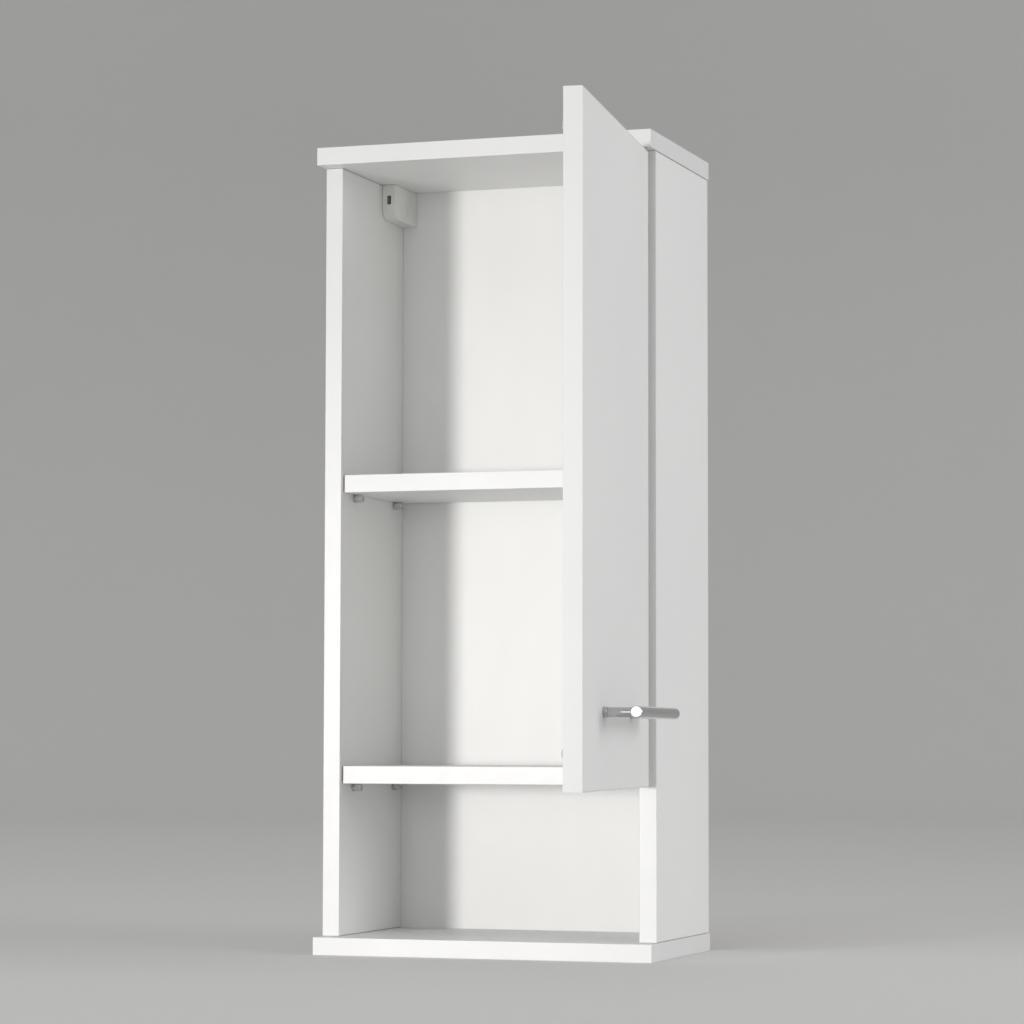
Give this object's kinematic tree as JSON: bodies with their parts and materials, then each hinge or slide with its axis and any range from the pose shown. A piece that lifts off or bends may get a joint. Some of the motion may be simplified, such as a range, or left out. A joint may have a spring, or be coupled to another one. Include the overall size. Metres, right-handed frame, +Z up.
{
  "type": "bathroom wall cabinet",
  "caption": "Tall narrow white bathroom wall cabinet with a hinged overlay door, bar handle, shelves on pins and an open niche below.",
  "frame": {"origin": "on the wall plane, in the middle of the bottom panel's rear edge, half a board above the underside", "axes": "+X to the right along the width, +Y back into the wall, +Z up"},
  "size_m": [0.3752, 0.4847, 0.7263],
  "materials": {
    "white_board": "satin white melamine-faced board with white edge band",
    "back_board": "white faced thin hardboard",
    "handle_chrome": "polished",
    "plated_steel": "nickel plated",
    "white_plastic": "satin moulded",
    "clear_plastic": "translucent moulded"
  },
  "bodies": {
    "cabinet": {"assembly_screw_bottom_left_front": "plated_steel", "assembly_screw_bottom_left_rear": "plated_steel", "assembly_screw_bottom_right_front": "plated_steel", "assembly_screw_bottom_right_rear": "plated_steel", "assembly_screw_top_left_front": "plated_steel", "assembly_screw_top_left_rear": "plated_steel", "assembly_screw_top_right_front": "plated_steel", "assembly_screw_top_right_rear": "plated_steel", "back_panel": "back_board", "bottom_panel": "white_board", "hanger_hook_left": "plated_steel", "hanger_hook_right": "plated_steel", "hanger_housing_left": "white_plastic", "hanger_housing_right": "white_plastic", "hanger_screw_left": "plated_steel", "hanger_screw_right": "plated_steel", "hinge_arm_lower": "plated_steel", "hinge_arm_upper": "plated_steel", "hinge_pin_lower": "plated_steel", "hinge_pin_upper": "plated_steel", "hinge_plate_lower": "plated_steel", "hinge_plate_screw_lower_bottom": "plated_steel", "hinge_plate_screw_lower_top": "plated_steel", "hinge_plate_screw_upper_bottom": "plated_steel", "hinge_plate_screw_upper_top": "plated_steel", "hinge_plate_upper": "plated_steel", "left_side_panel": "white_board", "right_side_panel": "white_board", "screw_cap_left_front": "white_plastic", "screw_cap_left_rear": "white_plastic", "screw_cap_right_front": "white_plastic", "screw_cap_right_rear": "white_plastic", "shelf_pin_lower_left_front": "clear_plastic", "shelf_pin_lower_left_rear": "clear_plastic", "shelf_pin_lower_right_front": "clear_plastic", "shelf_pin_lower_right_rear": "clear_plastic", "shelf_pin_upper_left_front": "clear_plastic", "shelf_pin_upper_left_rear": "clear_plastic", "shelf_pin_upper_right_front": "clear_plastic", "shelf_pin_upper_right_rear": "clear_plastic", "top_panel": "white_board"},
    "door": {"door_bumper_lower": "clear_plastic", "door_bumper_upper": "clear_plastic", "door_panel": "white_board", "handle_bar": "handle_chrome", "handle_post_free_side": "handle_chrome", "handle_post_hinge_side": "handle_chrome", "handle_screw_free_side": "plated_steel", "handle_screw_hinge_side": "plated_steel", "hinge_cup_lower": "plated_steel", "hinge_cup_screw_lower_bottom": "plated_steel", "hinge_cup_screw_lower_top": "plated_steel", "hinge_cup_screw_upper_bottom": "plated_steel", "hinge_cup_screw_upper_top": "plated_steel", "hinge_cup_upper": "plated_steel"},
    "hinge_links": {"hinge_link_lower": "plated_steel", "hinge_link_upper": "plated_steel"},
    "upper_shelf": {"upper_shelf": "white_board"},
    "lower_shelf": {"lower_shelf": "white_board"}
  },
  "joints": [
    {"name": "door_swing", "type": "hinge", "parent": "cabinet", "child": "door", "pos_m": [0.1485, -0.1825, 0.421], "axis": [0, 0, -1], "range_deg": [0, 97]},
    {"name": "hinge_link_turn", "type": "hinge", "parent": "cabinet", "child": "hinge_links", "pos_m": [0.1227, -0.1761, 0.421], "axis": [0, 0, 1], "range_deg": [0, 40]},
    {"name": "upper_shelf_lift", "type": "slide", "parent": "cabinet", "child": "upper_shelf", "axis": [0, 0, 1], "range_m": [0, 0.03]},
    {"name": "lower_shelf_lift", "type": "slide", "parent": "cabinet", "child": "lower_shelf", "axis": [0, 0, 1], "range_m": [0, 0.03]}
  ],
  "couplings": [
    {"joint": "hinge_link_turn", "follows": "door_swing", "ratio": 0.41}
  ]
}
